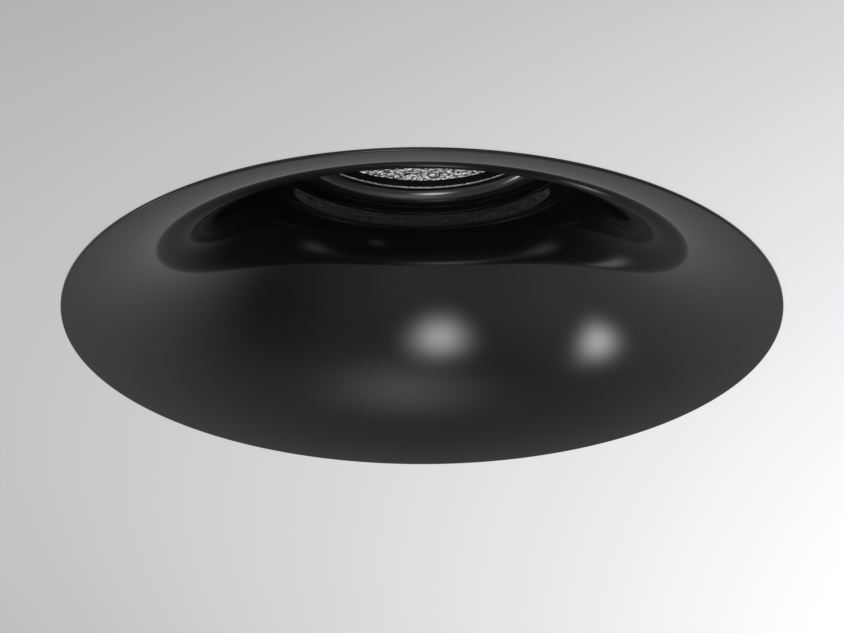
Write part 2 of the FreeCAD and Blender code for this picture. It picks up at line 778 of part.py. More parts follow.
def spring_frame():
    """Points and tangents of the coil, a quarter turn apart, round the clip's pin."""
    sweep = full_turn * coil_turns - arm_angle
    steps = ceil(sweep / 90)
    slope = 2 * coil_half_length / radians(sweep)
    frame = []
    for k in range(steps + 1):
        angle = radians(-90 + sweep * k / steps)
        point = FreeCAD.Vector(pin_x + coil_radius * cos(angle), -coil_half_length + slope * (angle + pi / 2),
                               pin_z + coil_radius * sin(angle))
        rise = 0 if k in (0, steps) else slope
        tangent = FreeCAD.Vector(-coil_radius * sin(angle), rise, coil_radius * cos(angle)).normalize()
        frame.append((point, tangent))
    return frame


def clip_spring():
    frame = spring_frame()
    (first, first_tangent), (last, last_tangent) = frame[0], frame[-1]
    foot = first - first_tangent * fixed_leg_length
    tip = last + last_tangent * moving_leg_length
    edges = [Part.LineSegment(foot, first).toShape()]
    for (a, a_tangent), (b, b_tangent) in zip(frame, frame[1:]):
        edges += biarc(a, a_tangent, b, b_tangent)
    edges.append(Part.LineSegment(last, tip).toShape())
    path = Part.Wire(edges)
    section = Part.Wire([Part.makeCircle(wire_diameter / 2, foot, first_tangent)])
    body = path.makePipeShell([section], True, False)
    expected = pi * (wire_diameter / 2) ** 2 * path.Length
    print(f"clip spring: volume {body.Volume:.2f} mm3, section times length {expected:.2f} mm3, "
          f"least gap {least_gap(path):.2f} mm")
    return body


def least_gap(path):
    """Least gap between turns, on points a fifth of a millimetre apart along the wire's middle line."""
    step = 0.2
    points = path.discretize(Distance=step)
    apart = int(pi * coil_radius / step)
    return min(a.distanceToPoint(b) for i, a in enumerate(points) for b in points[i + apart:]) - wire_diameter


def placed_arm(shape):
    """From the arm's own frame, with its pin at the origin and its length along X, to its place at rest."""
    return moved(turned(shape, arm_angle, axis=Y), FreeCAD.Vector(pin_x, 0, pin_z))


def clip_arm():
    hub = arm_hub_radius
    side_end = arm_length - foot_radius - arm_side_gap
    side_face = outline((0, -hub), (arm_web_start, web_bottom), (side_end, web_bottom),
                        (side_end, web_top + arm_tip_height), (arm_web_start, hub), (0, hub))
    side = side_face.extrude(Y * arm_sheet).fuse(rod(hub, (0, 0, 0), Y, arm_sheet))
    sides = [moved(side, Y * low) for low in (arm_inner, -arm_outer)]
    web = block((arm_web_start, -arm_outer, web_bottom), (side_end, arm_outer, web_top))
    tongue = block((side_end - 1, -arm_inner, web_bottom), (arm_length + 1, arm_inner, web_top))
    body = joined([*sides, web, tongue])
    return placed_arm(body.cut(rod(pin_radius + pin_running_gap, (0, -arm_outer - 1, 0), Y, 2 * arm_outer + 2)))


def clip_foot():
    pad = rod(foot_radius, (arm_length, -foot_half_width, web_middle), Y, 2 * foot_half_width)
    return placed_arm(pad.cut(block((0, -arm_inner, web_bottom), (arm_length + 1, arm_inner, web_top))))


# Terminal box.
def terminal_box():
    body = block((-box_half_width, box_back, box_foot_z), (box_half_width, box_front, box_top_z))
    upright = [e for e in body.Edges if abs(e.Vertexes[0].X - e.Vertexes[1].X) < 1e-6
               and abs(e.Vertexes[0].Y - box_back) < 1e-6 and abs(e.Vertexes[1].Y - box_back) < 1e-6]
    body = body.makeFillet(box_wall / 2, upright)
    body = body.cut(block((-cavity_half_width, cavity_back, box_floor_z),
                          (cavity_half_width, box_front + 1, box_roof_z)))
    for x in (-box_screw_offset, box_screw_offset):
        body = body.fuse(disc(box_boss_radius, box_floor_z - 0.5, driver_z, (x, box_screw_y())))
    ears = []
    for low, high in (box_ear, (-box_ear[1], -box_ear[0])):
        ear = block((low, box_front - 3, box_top_z - 0.5), (high, hinge_y, hinge_z))
        ear = ear.fuse(rod(hinge_radius, (low, hinge_y, hinge_z), X, high - low))
        ears.append(ear.cut(block((low - 1, box_front, box_top_z - 1), (high + 1, box_front + 5, box_top_z))))
    body = joined([body, *ears])
    for x in (-box_screw_offset, box_screw_offset):
        body = body.cut(disc(box_screw[0], box_foot_z - 1, driver_z - 0.4, (x, box_screw_y())))
    body = body.cut(disc(gland_thread_radius + gland_hole_gap, box_roof_z - 1, box_top_z + 1, (0, gland_y)))
    body = body.cut(rod(grommet_hole_radius, (0, box_back - 1, grommet_z), Y, box_wall + 2))
    return body.cut(rod(hinge_pin_radius, (-box_half_width, hinge_y, hinge_z), X, 2 * box_half_width))


def box_screws():
    return [screw(box_screw, box_foot_z - shelf_thickness, (x, box_screw_y()), downward=False)
            for x in (-box_screw_offset, box_screw_offset)]


def lid_pins():
    length = box_ear[1] - lid_knuckle[0]
    return [rod(hinge_pin_radius, (low, hinge_y, hinge_z), X, length) for low in (lid_knuckle[0], -box_ear[1])]


def cavity_block(gap):
    """The box's cavity run through the lid, widened by a gap."""
    half = cavity_half_width + gap
    return block((-half, cavity_back, box_floor_z - gap), (half, box_front + lid_thickness, box_roof_z + gap))


def box_lid():
    top = box_top_z - lid_top_gap
    bottom = box_foot_z + lid_top_gap
    plate = block((-box_half_width, box_front, bottom), (box_half_width, box_front + lid_thickness, top))
    corners = [e for e in plate.Edges if abs(e.Vertexes[0].Y - e.Vertexes[1].Y) > lid_thickness / 2]
    plate = plate.makeFillet(lid_corner_round, corners)
    groove_half = box_half_width - seal_strip_inset
    groove = block((-groove_half, box_front - 1, bottom + seal_strip_inset),
                   (groove_half, box_front + seal_strip, top - seal_strip_inset))
    groove = groove.cut(cavity_block(lid_groove_gap))
    rim_x = cavity_half_width - lid_rim_gap
    rim_low, rim_high = box_floor_z + lid_rim_gap, box_roof_z - lid_rim_gap
    rim = block((-rim_x, box_front - lid_rim_depth, rim_low), (rim_x, box_front + seal_strip, rim_high))
    wall = lid_rim_wall
    rim = rim.cut(block((-rim_x + wall, cavity_back, rim_low + wall), (rim_x - wall, box_front, rim_high - wall)))
    body = plate.cut(groove).fuse(rim)
    for low, high in (lid_knuckle, (-lid_knuckle[1], -lid_knuckle[0])):
        arm = block((low, box_front, top - seal_strip_inset), (high, box_front + lid_thickness, hinge_z))
        body = body.fuse(arm).fuse(rod(hinge_radius, (low, hinge_y, hinge_z), X, high - low))
    bore = rod(hinge_pin_radius + hinge_running_gap, (-box_half_width, hinge_y, hinge_z), X, 2 * box_half_width)
    return body.removeSplitter().cut(bore)


def lid_seal():
    gap = seal_strip_inset + 0.1
    top, bottom = box_top_z - lid_top_gap - gap, box_foot_z + lid_top_gap + gap
    half = box_half_width - gap
    strip = block((-half, box_front, bottom), (half, box_front + seal_strip, top))
    return strip.cut(cavity_block(lid_groove_gap + 0.1))


def driver_module():
    front = cavity_back + driver_depth
    body = block((-driver_half_width, cavity_back, driver_z), (driver_half_width, front, driver_z + driver_height))
    return body.makeFillet(driver_round, [e for e in body.Edges if e.CenterOfMass.y > front - driver_round / 2])


def lever_space(x):
    """The slot in the block that a lever lies and turns in."""
    half = lever_width / 2 + lever_side_gap
    room = lever_hub_radius + lever_room
    hub_slot = block((x - half, lever_axis_y - room, lever_axis_z - room),
                     (x + half, block_front + 1, block_top_z + 1))
    arm_slot = block((x - half, block_front - lever_thickness - lever_side_gap,
                      lever_axis_z - lever_length - lever_tip_room), (x + half, block_front + 1, block_top_z))
    return hub_slot.fuse(arm_slot)


def cage_box(x, gap=0.0):
    low = block_z + cage_rise
    return block((x - cage_width / 2 - gap, cage_back - gap, low - gap),
                 (x + cage_width / 2 + gap, cage_back + cage_depth + gap, low + cage_height + gap))


def terminal_block():
    body = block((-block_half_width, cavity_back, block_z), (block_half_width, block_front, block_top_z))
    reach = lever_width / 2 + lever_side_gap + axle_stub
    bore_radius = lever_axle_radius + lever_running_gap
    for x in (-pole_offset, pole_offset):
        body = body.cut(lever_space(x)).cut(cage_box(x, cage_gap))
        body = body.cut(rod(bore_radius, (x - reach, lever_axis_y, lever_axis_z), X, 2 * reach))
        body = body.cut(disc(wire_entry_radius, block_z - 1, block_z + cage_rise + 0.5, (x, cage_back + cage_depth / 2)))
    return body


def terminal_cages():
    half = cage_width / 2 - cage_wall
    low, high = cage_back + cage_wall, cage_back + cage_depth - cage_wall
    return [cage_box(x).cut(block((x - half, low, block_z), (x + half, high, block_top_z)))
            for x in (-pole_offset, pole_offset)]


def lever(x):
    half = lever_width / 2
    hub = rod(lever_hub_radius, (x - half, lever_axis_y, lever_axis_z), X, lever_width)
    front = block_front
    arm = block((x - half, front - lever_thickness, lever_axis_z - lever_length), (x + half, front, lever_axis_z))
    arm = arm.fuse(block((x - half, lever_axis_y, lever_axis_z - lever_hub_radius), (x + half, front, lever_axis_z)))
    stub = half + axle_stub - 0.1
    axle = rod(lever_axle_radius, (x - stub, lever_axis_y, lever_axis_z), X, 2 * stub)
    return joined([hub, arm, axle])


# Cable gland and grommet.
def gland_body():
    centre = (0, gland_y)
    low = box_roof_z - locknut_height - 0.6
    body = disc(gland_thread_radius, low, box_top_z, centre)
    body = body.fuse(hexagon(gland_hex, box_top_z, box_top_z + gland_hex_height, centre))
    neck_top = box_top_z + gland_hex_height + gland_neck_height
    body = body.fuse(disc(gland_neck_radius, box_top_z + gland_hex_height, neck_top, centre)).removeSplitter()
    body = body.cut(disc(gland_bore_radius, low - 1, neck_top + 1, centre))
    return body.cut(disc(gland_neck_radius - nut_wall, gland_seal_z, neck_top + 1, centre))


def gland_locknut():
    body = hexagon(nut_hex, box_roof_z - locknut_height, box_roof_z, (0, gland_y))
    return body.cut(disc(gland_thread_radius, box_roof_z - locknut_height - 1, box_top_z, (0, gland_y)))


def gland_seal():
    low, high = gland_seal_z, gland_seal_z + seal_height
    body = disc(gland_neck_radius - nut_wall - gland_hole_gap, low, high, (0, gland_y))
    return body.cut(disc(cable_radius, low - 1, high + 1, (0, gland_y)))


def gland_nut():
    low = box_top_z + gland_hex_height + nut_lift
    centre = (0, gland_y)
    roof = gland_seal_z + seal_height
    top = roof + nut_top_wall
    body = hexagon(nut_hex, low, roof - nut_shoulder, centre)
    body = body.fuse(disc(nut_hex / 2, roof - nut_shoulder, top, centre)).removeSplitter()
    body = body.makeFillet(nut_top_wall * 0.9, [e for e in body.Edges if e.CenterOfMass.z > top - 1e-3])
    body = body.cut(disc(gland_neck_radius + gland_hole_gap, low - 1, roof, centre))
    return body.cut(disc(cable_radius + cable_gap, low - 1, top + 1, centre))


def lead_grommet():
    lip = grommet_hole_radius + grommet_lip
    can_end, box_end = can_inner - 2 * grommet_flange, cavity_back + grommet_flange
    can_lip = grommet_flange * 1.6
    body = joined([rod(grommet_hole_radius, (0, can_end, grommet_z), Y, box_end - can_end),
                   rod(lip, (0, cavity_back, grommet_z), Y, grommet_flange),
                   rod(lip, (0, can_end, grommet_z), Y, can_lip)])
    return body.cut(rod(grommet_bore_radius, (0, can_end - 1, grommet_z), Y, box_end - can_end + 2))


def main():
    os.makedirs("parts", exist_ok=True)
    save("flare", flare())
    save("soffit_gasket", soffit_gasket())
    save("glide_ring", glide_ring())
    save("ring_keepers", *keepers())
    save("keeper_screws", *keeper_screws())
    save("swivel_ring", swivel_ring())
    save("pivot_washers", *pivot_washers())
    save("pivot_screws", *pivot_screws())
    save("bezel", bezel())
    save("lens_seal", lens_seal())
    save("front_lens", front_lens())
    save("reflector_cup", reflector_cup())
    save("led_holder", led_holder())
    save("holder_screws", *holder_screws())
    save("led_board", led_board())
    save("led_emitter", led_emitter())
    save("thermal_pad", thermal_pad())
    save("head_body", head_body())
    save("heat_sink", heat_sink())
    save("sink_screws", *sink_screws())
    save("head_grommet", head_grommet())
    save("housing_can", housing_can())
    save("can_screws", *can_screws())
    sided = {"clip_bracket": clip_bracket(), "clip_pin": clip_pin(), "clip_spring": clip_spring(),
             "clip_arm": clip_arm(), "clip_foot": clip_foot()}
    for name, shape in sided.items():
        save(f"{name}_right", shape)
        save(f"{name}_left", turned(shape, 180))
    save("bracket_screws", *[screw(bracket_screw, bracket_top_z, place) for place in bracket_screw_places()])
    save("terminal_box", terminal_box())
    save("box_screws", *box_screws())
    save("lid_pins", *lid_pins())
    save("box_lid", box_lid())
    save("lid_seal", lid_seal())
    save("driver_module", driver_module())
    save("terminal_block", terminal_block())
    save("terminal_cages", *terminal_cages())
    save("lever_plus", lever(pole_offset))
    save("lever_minus", lever(-pole_offset))
    save("gland_body", gland_body())
    save("gland_locknut", gland_locknut())
    save("gland_seal", gland_seal())
    save("gland_nut", gland_nut())
    save("lead_grommet", lead_grommet())


main()
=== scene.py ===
"""A recessed soffit downlight: a gloss black trumpet ring with a tilting head, clips and a terminal box.

Pieces are drawn in millimetres and finished in metres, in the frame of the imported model. The origin is the
centre of the lamp on the underside of the soffit, +Z runs up into the soffit and +Y away from the viewer.
"""

import json
from math import asin, atan2, cos, degrees, e, hypot, pi, radians, sin, sqrt

import bmesh
import bpy
from mathutils import Matrix, Vector

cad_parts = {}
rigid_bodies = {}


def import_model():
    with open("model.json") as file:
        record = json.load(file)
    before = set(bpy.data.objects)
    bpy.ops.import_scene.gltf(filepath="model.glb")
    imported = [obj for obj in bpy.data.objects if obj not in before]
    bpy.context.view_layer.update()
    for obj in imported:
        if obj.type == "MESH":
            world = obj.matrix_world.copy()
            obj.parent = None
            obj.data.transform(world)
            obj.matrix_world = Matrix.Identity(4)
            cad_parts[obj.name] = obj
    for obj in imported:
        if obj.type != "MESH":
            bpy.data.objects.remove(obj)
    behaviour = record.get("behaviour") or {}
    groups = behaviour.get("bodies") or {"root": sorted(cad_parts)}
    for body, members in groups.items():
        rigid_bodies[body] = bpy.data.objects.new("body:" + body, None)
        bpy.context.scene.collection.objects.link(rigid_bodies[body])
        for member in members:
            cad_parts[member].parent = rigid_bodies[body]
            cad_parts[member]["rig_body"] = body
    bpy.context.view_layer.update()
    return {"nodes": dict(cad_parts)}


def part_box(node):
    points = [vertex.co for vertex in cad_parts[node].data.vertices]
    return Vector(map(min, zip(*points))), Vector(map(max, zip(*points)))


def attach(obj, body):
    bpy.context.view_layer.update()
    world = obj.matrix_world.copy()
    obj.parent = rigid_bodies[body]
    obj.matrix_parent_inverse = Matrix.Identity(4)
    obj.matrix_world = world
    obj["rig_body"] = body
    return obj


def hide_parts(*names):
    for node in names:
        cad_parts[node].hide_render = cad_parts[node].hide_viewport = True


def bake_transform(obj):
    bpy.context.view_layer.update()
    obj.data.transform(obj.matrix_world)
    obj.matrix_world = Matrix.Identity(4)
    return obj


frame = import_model()
mm = 0.001


# Viewpoint. The viewer stands under the soffit in front of the lamp and looks up at the middle of its lip,
# with a long lens, so that the lamp fills the frame.
view_distance = 937.0 * mm
view_drop = radians(25.75)
lip_middle = Vector((0, 0, -0.28 * mm))
camera = bpy.data.objects.new("camera", bpy.data.cameras.new("camera"))
camera.data.lens = 192.2
camera.data.clip_end = 20
camera.location = lip_middle + Vector((0, -cos(view_drop), -sin(view_drop))) * view_distance
camera.rotation_mode = "QUATERNION"
camera.rotation_quaternion = (lip_middle - camera.location).to_track_quat("-Z", "Y")
bpy.context.scene.collection.objects.link(camera)
bpy.context.scene.camera = camera
bpy.context.scene.view_settings.view_transform = "Standard"


# Room. Soft, even light comes from all round. Below the soffit two broad lamps stand behind the viewer and to the
# left, the floor is brighter in one place and the right-hand wall darker, which is what the gloss ring mirrors.
class Signal:
    """A shader socket that sums are written on: each adds a Math node."""

    def __init__(self, shading, socket):
        self.shading = shading
        self.socket = socket

    def math(self, operation, first, second):
        made = self.shading.tree.nodes.new("ShaderNodeMath")
        made.operation = operation
        for socket, value in zip(made.inputs, (first, second)):
            self.shading.plug(socket, value)
        return Signal(self.shading, made.outputs[0])

    def __add__(self, other):
        return self.math("ADD", self, other)

    def __sub__(self, other):
        return self.math("SUBTRACT", self, other)

    def __rsub__(self, other):
        return self.math("SUBTRACT", other, self)

    def __mul__(self, other):
        return self.math("MULTIPLY", self, other)

    def __pow__(self, other):
        return self.math("POWER", self, other)

    def __rpow__(self, other):
        return self.math("POWER", other, self)

    __radd__ = __add__
    __rmul__ = __mul__


class Shading:
    """A tree of shader nodes with its output node, of the room or of one finish."""

    def __init__(self, tree, output):
        self.tree = tree
        tree.nodes.clear()
        self.output = tree.nodes.new("ShaderNode" + output)

    def plug(self, socket, value):
        if isinstance(value, Signal):
            self.tree.links.new(value.socket, socket)
        elif socket.type == "RGBA":
            socket.default_value = (*value, 1.0)
        else:
            socket.default_value = value

    def node(self, kind, settings=None, result=None, **sockets):
        """Adds a node: first its settings, then its sockets' values or links. Gives the socket of its result."""
        made = self.tree.nodes.new("ShaderNode" + kind)
        for name, value in (settings or {}).items():
            setattr(made, name, value)
        for name, value in sockets.items():
            socket = next(s for s in made.inputs if s.enabled and s.name == name.replace("_", " "))
            self.plug(socket, value)
        return Signal(self, next(s for s in made.outputs if s.enabled and result in (None, s.name)))

    def between(self, value, low, high):
        """0 below low, 1 above high, and smooth between them."""
        return self.node("MapRange", {"interpolation_type": "SMOOTHSTEP"}, Value=value, From_Min=low, From_Max=high)

    def nearness(self, vector, direction):
        """The cosine of the angle between a vector and a fixed direction."""
        made = self.node("VectorMath", {"operation": "DOT_PRODUCT"}, "Value", Vector=vector)
        made.socket.node.inputs[1].default_value = direction
        return made

    def show(self, shader):
        self.plug(self.output.inputs["Surface"], shader)


def heading(azimuth, drop):
    """A direction by its azimuth from +Y towards +X and its angle below the soffit's plane, in degrees."""
    a, d = radians(azimuth), radians(drop)
    return sin(a) * cos(d), cos(a) * cos(d), -sin(d)


level_below, level_above, level_seen = 0.35, 0.75, 0.93
room_lamps = (                         # direction, spread in degrees, strength
    (heading(-167.3, 54.8), 7.1, 7.5),
    (heading(-64.3, 44.2), 4.9, 6.7),
    (heading(140, 85), 11.2, 1.15),
    (heading(71, 28.5), 24.7, -0.5),
    (heading(177, 21.7), 18.8, 0.15),
    (heading(-112, 77), 20.5, -0.28),
    (heading(54, 31.7), 28.3, 0.34),
    (heading(-93, 31.8), 30.2, 0.25),
    (heading(-150, -48), 21.0, 1.6),
    (heading(60, -40), 24.0, 0.7),
)
world = bpy.data.worlds.new("room")
world.use_nodes = True
bpy.context.scene.world = world
room = Shading(world.node_tree, "OutputWorld")
outwards = room.node("TexCoord", result="Generated")
level = room.between(room.nearness(outwards, (0, 0, 1)), -0.05, 0.05) * (level_above - level_below) + level_below
for direction, spread, strength in room_lamps:
    level = level + strength * e ** ((room.nearness(outwards, direction) - 1) * radians(spread) ** -2)
backdrop = room.node("LightPath", result="Is Camera Ray")
level = level * (1 - backdrop) + level_seen * backdrop
room.show(room.node("Background", Color=(1, 1, 1), Strength=level))


# Soffit. A thin painted board with a round cut-out of 145 mm for the lamp. It is not part of the lamp. Its
# underside's colour holds painted light, which grows lighter towards a window on the right.
class Finish(Shading):
    """A material with one shader, whose sockets take numbers, colours or signals, named after its slot."""

    def __init__(self, name, **sockets):
        self.material = bpy.data.materials.new(name)
        self.material.use_nodes = True
        self.material["slot"] = name
        super().__init__(self.material.node_tree, "OutputMaterial")
        self.place = self.node("TexCoord", result="Object")
        self.shader = self.node("BsdfPrincipled", result="BSDF", **sockets)
        self.show(self.shader)

    def set(self, **sockets):
        for name, value in sockets.items():
            self.plug(self.shader.socket.node.inputs[name.replace("_", " ")], value)

    def noise(self, size, detail=2.0, stretch=(1, 1, 1)):
        """Cloudy noise from 0 to 1, with forms of a size in millimetres, drawn out where stretch is over 1."""
        spot = self.node("Mapping", Vector=self.place, Scale=[1 / (size * mm * s) for s in stretch])
        return self.node("TexNoise", Vector=spot, Scale=1.0, Detail=detail)

    def mix(self, factor, first, second):
        return self.node("Mix", {"data_type": "RGBA"}, "Result", Factor=factor, A=first, B=second)

    def mottle(self, size, detail, first, second):
        """Lets the colour drift between two tones, in clouds of a size in millimetres."""
        self.set(Base_Color=self.mix(self.noise(size, detail), first, second))

    def relief(self, height, depth):
        """Gives the surface a relief, of a depth in millimetres where height goes from 0 to 1."""
        self.set(Normal=self.node("Bump", Height=height, Distance=depth * mm, Strength=1.0))

    def coordinate(self, axis):
        return self.node("SeparateXYZ", result=axis, Vector=self.place)

    def from_axis(self):
        """The distance from the lamp's axis."""
        x, y = self.coordinate("X"), self.coordinate("Y")
        return (x * x + y * y) ** 0.5


def traced(start, *moves):
    """A line of edges in the XZ plane. A move is the end of a straight run, or an arc: its centre, the degrees it
    turns through, from +Z towards +X, and its number of steps."""
    bm = bmesh.new()
    last = bm.verts.new((start[0], 0, start[1]))
    for x, z, *arc in moves:
        if arc:
            made = bmesh.ops.spin(bm, geom=[last], cent=(x, 0, z), axis=(0, 1, 0), angle=radians(arc[0]),
                                  steps=arc[1])
            last = next(v for v in made["geom_last"] if isinstance(v, bmesh.types.BMVert))
        else:
            last = bmesh.ops.extrude_vert_indiv(bm, verts=[last])["verts"][0]
            last.co = (x, 0, z)
    return bm


def closed(bm):
    """Joins the two ends of a traced line."""
    bm.edges.new([v for v in bm.verts if len(v.link_edges) == 1])
    return bm


def spun(bm, steps=192):
    """Turns a traced line all the way round the lamp's axis."""
    bmesh.ops.spin(bm, geom=bm.verts[:] + bm.edges[:], cent=(0, 0, 0), axis=(0, 0, 1), angle=2 * pi, steps=steps,
                   use_merge=True)
    bmesh.ops.remove_doubles(bm, verts=bm.verts, dist=0.0005)
    return bm


def set_down(name, bm, finish, sharp=30):
    """Turns a mesh in millimetres into an object in metres, shaded smooth up to its sharp edges."""
    bmesh.ops.remove_doubles(bm, verts=bm.verts, dist=0.0005)
    bmesh.ops.recalc_face_normals(bm, faces=bm.faces)
    for face in bm.faces:
        face.smooth = True
    for edge in bm.edges:
        edge.smooth = edge.is_manifold and edge.calc_face_angle() < radians(sharp)
    bmesh.ops.scale(bm, vec=(mm, mm, mm), verts=bm.verts)
    mesh = bpy.data.meshes.new(name)
    bm.to_mesh(mesh)
    bm.free()
    mesh.materials.append(finish.material)
    made = bpy.data.objects.new(name, mesh)
    bpy.context.scene.collection.objects.link(made)
    return made


board_low, board_high, cut_out_radius, board_reach = 0.05, 2.95, 72.5, 2500.0
board_glow = 0.85                      # share of the board's tone that no shadow darkens
soffit_paint = Finish("soffit_paint", Roughness=0.6)
across = soffit_paint.node("Clamp", Value=soffit_paint.coordinate("X") * 10, Min=-1.2, Max=1.2)
along = soffit_paint.node("Clamp", Value=soffit_paint.coordinate("Y") * 10, Min=-1.6, Max=2.0)
# Painted light: the window's light across the underside, drawn as a smooth gradient in its colour.
painted_window_light = 0.6683 + 0.1818 * across + 0.0773 * along
painted_window_light = painted_window_light + 0.0335 * across * across + 0.0378 * across * along - 0.0262 * along * along
painted_ceiling_light = soffit_paint.mix(painted_window_light, (0, 0, 0), (1.018, 1.0, 1.022))
facing_down = soffit_paint.nearness(soffit_paint.node("NewGeometry", result="True Normal"), (0, 0, -1))
facing_down = soffit_paint.between(facing_down, 0.4, 0.6)
# The board's colour: plain pale on top, and the painted window light underneath.
board_paint_and_painted_light = soffit_paint.mix(facing_down, (0.86, 0.86, 0.87), painted_ceiling_light)
soffit_paint.set(Base_Color=board_paint_and_painted_light)
looked_at = [soffit_paint.node("LightPath", result=f"Is {kind} Ray")
             for kind in ("Camera", "Glossy", "Transmission")]
glow = soffit_paint.node("Emission", Color=board_paint_and_painted_light, Strength=1.07)
lit_board = soffit_paint.node("MixShader", Fac=sum(looked_at) * (facing_down * (board_glow - 0.5) + 0.5))
for socket, shader in zip(lit_board.socket.node.inputs[1:], (soffit_paint.shader, glow)):
    soffit_paint.plug(socket, shader)
soffit_paint.show(lit_board)
board = closed(traced((cut_out_radius, board_low), (board_reach, board_low), (board_reach, board_high),
                      (cut_out_radius, board_high)))
set_down("soffit_board", spun(board, 96), soffit_paint)


# Front ring. One aluminium casting under gloss black paint: a lip that covers the edge of the cut-out, a deep
# trumpet-shaped flare, a collar in the cut-out, ribs behind the flare and a flange on top that carries the rest.
def corners(node):
    """The lowest and highest corner of a CAD node, in millimetres."""
    return [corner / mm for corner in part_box(node)]


def in_place(piece, body, *nodes):
    """A piece rides on a body and stands for CAD nodes, which are hidden."""
    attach(piece, body)
    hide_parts(*nodes)


can_low, can_high = corners("housing_can")
box_low, box_high = corners("terminal_box")
box_front = box_high.y - 2.4           # the lid's hinge stands out in front of it
bracket_low = corners("clip_bracket_right")[0]
lip_radius, lip_thickness, lip_edge, lip_slope = 75.0, 0.8, 0.3, 5.2
flange_top, flange_bottom, flange_radius = can_low.z, can_low.z - 1.8, can_high.x
throat_slope, throat_round, flare_wall, throat_radius = 83.0, 0.5, 1.8, 32.699
flare_radius = (lip_radius - throat_radius) / (sin(radians(throat_slope)) - sin(radians(lip_slope)))
flare_middle = (lip_radius + flare_radius * sin(radians(lip_slope)),
                flare_radius * cos(radians(lip_slope)) - lip_thickness)
collar_radius, collar_inside, collar_top = 72.0, 70.0, 8.0
stop_radius, gasket_thickness = 72.6, 0.2
rib_thickness, rib_angles = 2.0, [22.5 + 45 * k for k in range(8)]
can_screw_angles, keeper_angles = (60, 180, 300), (30, 150, 270)

black_paint = Finish("gloss_black_paint", IOR=1.5)
orange_peel = black_paint.noise(1.6, 2.0)
black_paint.mottle(14, 3.0, (0.0035, 0.0035, 0.0038), (0.006, 0.006, 0.0065))
black_paint.set(Roughness=0.04 + 0.02 * black_paint.noise(9, 4.0))
black_paint.relief(orange_peel, 0.0002)


def back_slope(radius):
    """The slope of the flare's back at a radius, in degrees."""
    return degrees(asin((flare_middle[0] - radius) / (flare_radius - flare_wall)))


def back_height(radius):
    return flare_middle[1] - (flare_radius - flare_wall) * cos(radians(back_slope(radius)))


def back_radius(height):
    return flare_middle[0] - sqrt((flare_radius - flare_wall) ** 2 - (flare_middle[1] - height) ** 2)


edge_reach = flare_radius - lip_edge
edge_slope = degrees(asin((flare_middle[0] - lip_radius + lip_edge) / edge_reach))
edge_middle = (lip_radius - lip_edge, flare_middle[1] - edge_reach * cos(radians(edge_slope)))
upper_back = back_radius(flange_bottom)
casting = traced(
    (lip_radius, -gasket_thickness), (lip_radius, edge_middle[1]), (*edge_middle, 90 + edge_slope, 8),
    (*flare_middle, throat_slope - edge_slope, 90),
    (throat_radius + throat_round, flange_top - throat_round, 95, 6),
    (flange_radius, flange_top), (flange_radius, flange_bottom), (upper_back, flange_bottom),
    (*flare_middle, back_slope(collar_inside) - back_slope(upper_back), 30), (collar_inside, collar_top),
    (collar_radius, collar_top), (collar_radius, 0), (stop_radius, 0), (stop_radius, -gasket_thickness))
spun(closed(casting), 256)


def add(bm, part, *places):
    """Adds a part to a mesh once for each place, given as a matrix."""
    mesh = bpy.data.meshes.new("part")
    part.to_mesh(mesh)
    part.free()
    for place in places or (Matrix(),):
        before = len(bm.verts)
        bm.from_mesh(mesh)
        bm.verts.ensure_lookup_table()
        bmesh.ops.transform(bm, matrix=place, verts=bm.verts[before:])
    bpy.data.meshes.remove(mesh)
    return bm


def plate(bm, thickness, edge):
    """Fills a closed outline and gives it a thickness across Y and rounded edges."""
    bmesh.ops.translate(bm, vec=(0, -thickness / 2, 0), verts=bm.verts)
    face = bmesh.ops.contextual_create(bm, geom=bm.edges)["faces"]
    lifted = bmesh.ops.extrude_face_region(bm, geom=face)["geom"]
    bmesh.ops.translate(bm, vec=(0, thickness, 0), verts=[v for v in lifted if isinstance(v, bmesh.types.BMVert)])
    rim = [line for line in bm.edges if line.is_manifold and line.calc_face_angle() > 0.5]
    bmesh.ops.bevel(bm, geom=rim, offset=edge, offset_type="OFFSET", segments=2, profile=0.5, affect="EDGES",
                    material=-1)
    return bm


def bar(low, high, edge):
    """A block between two corners, with rounded edges."""
    bm = bmesh.new()
    bmesh.ops.create_cube(bm, size=1)
    size = Vector(high) - Vector(low)
    bmesh.ops.scale(bm, vec=size, verts=bm.verts)
    bmesh.ops.translate(bm, vec=Vector(low) + size / 2, verts=bm.verts)
    bmesh.ops.bevel(bm, geom=bm.edges, offset=edge, offset_type="OFFSET", segments=2, profile=0.5, affect="EDGES",
                    material=-1)
    return bm


def turn(angle, centre=(0, 0, 0)):
    """Turns about the lamp's axis after a shift from the origin to a centre."""
    return Matrix.Rotation(radians(angle), 4, "Z") @ Matrix.Translation(centre)


def web(top_radius, top):
    """The outline of a rib behind the flare, sunk a little into its wall."""
    foot, sunk = collar_inside, 0.4
    start = back_radius(top)
    return closed(traced((start - sunk, top), (*flare_middle, back_slope(foot) - back_slope(start), 20),
                         (foot + 1, back_height(foot) - sunk), (foot + 1, collar_top), (top_radius, top)))


add(casting, plate(web(flange_radius, flange_bottom + 0.3), rib_thickness, 0.25), *[turn(a) for a in rib_angles])
shelf_bottom, shelf_half = box_low.z - 4.0, 13.0
add(casting, bar((-shelf_half, flange_radius, shelf_bottom), (shelf_half, box_front, box_low.z), 0.4))
add(casting, bar((-shelf_half, flange_radius - 5, shelf_bottom), (shelf_half, box_front - 1, flange_top), 0.3))
add(casting, plate(web(box_front, shelf_bottom + 0.3), rib_thickness, 0.25),
    *[Matrix.Translation((x, 0, 0)) @ turn(90) for x in (-4.5, 4.5)])


def boss(radius, low, high):
    return spun(traced((0, low), (radius - 0.3, low), (radius - 0.3, low + 0.3, -90, 3), (radius, high), (0, high)), 32)


